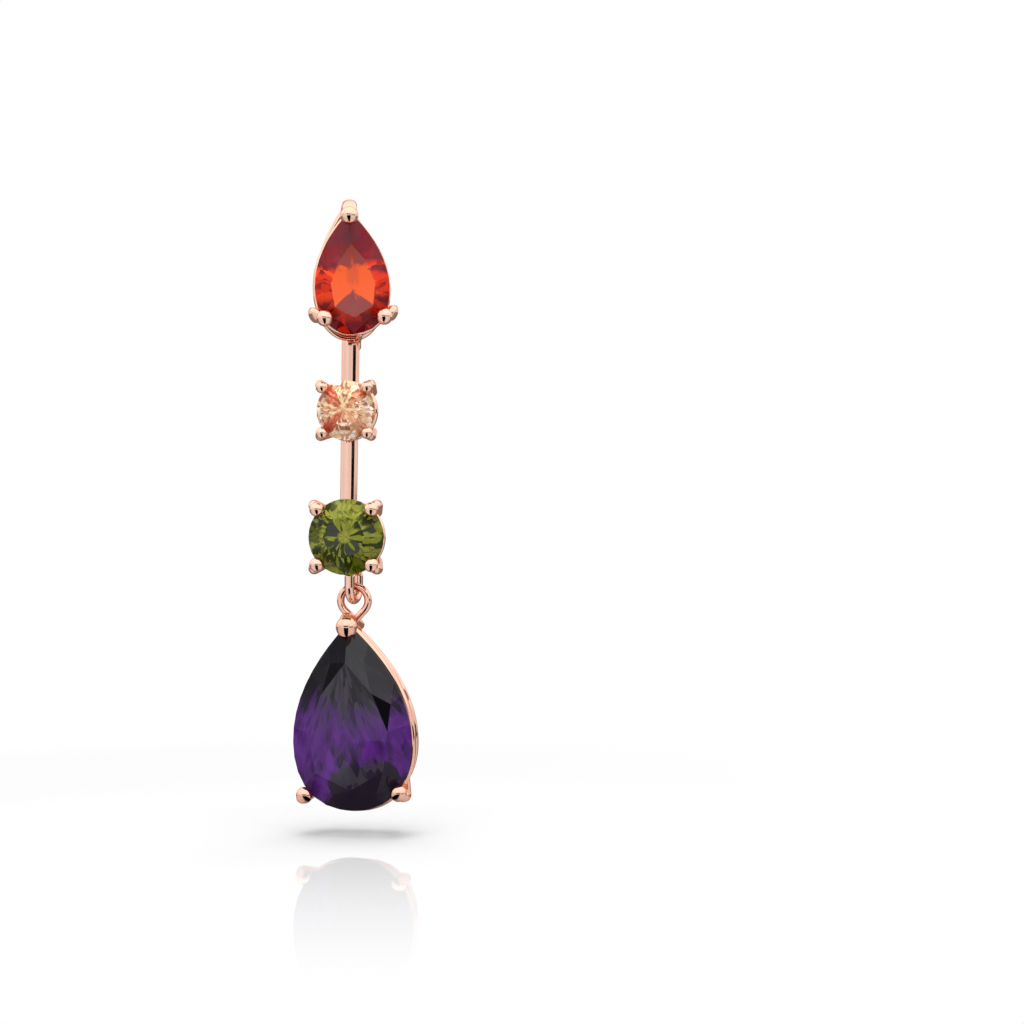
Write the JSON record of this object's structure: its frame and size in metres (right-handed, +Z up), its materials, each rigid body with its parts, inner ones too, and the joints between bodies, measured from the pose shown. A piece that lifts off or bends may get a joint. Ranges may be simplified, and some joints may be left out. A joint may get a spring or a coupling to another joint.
{
  "type": "drop earring",
  "caption": "Rose gold drop earring: claw-set pear stone on an ear post, straight bar with round stones, and a large pear stone hanging from an eye.",
  "frame": {"origin": "where the ear post leaves its pad, on the post's axis: the ear lobe's front lies there", "axes": "+Z up along the hanging earring, -Y the front that shows, +Y along the ear post through the lobe, +X to the right seen from the front"},
  "size_m": [0.0082, 0.0156, 0.04],
  "materials": {
    "rose_gold": "polished rose gold",
    "coppery_rose_gold": "polished rose gold, slightly redder",
    "post_gold": "smooth rose gold",
    "orange_gem": "polished orange-red cut stone",
    "champagne_gem": "polished pale champagne cut stone",
    "green_gem": "polished olive green cut stone",
    "purple_gem": "polished deep purple cut stone"
  },
  "bodies": {
    "upper": {"upper_frame": "rose_gold", "orange_stone": "orange_gem", "champagne_stone": "champagne_gem", "green_stone": "green_gem", "ear_post": "post_gold"},
    "pendant": {"pendant_setting": "coppery_rose_gold", "purple_stone": "purple_gem"}
  },
  "joints": [
    {"name": "pendant_swing", "type": "hinge", "parent": "upper", "child": "pendant", "pos_m": [0.0004, -0.00205, -0.02161], "axis": [0.9816, -0.1908, 0], "range_deg": [-60, 60]}
  ]
}
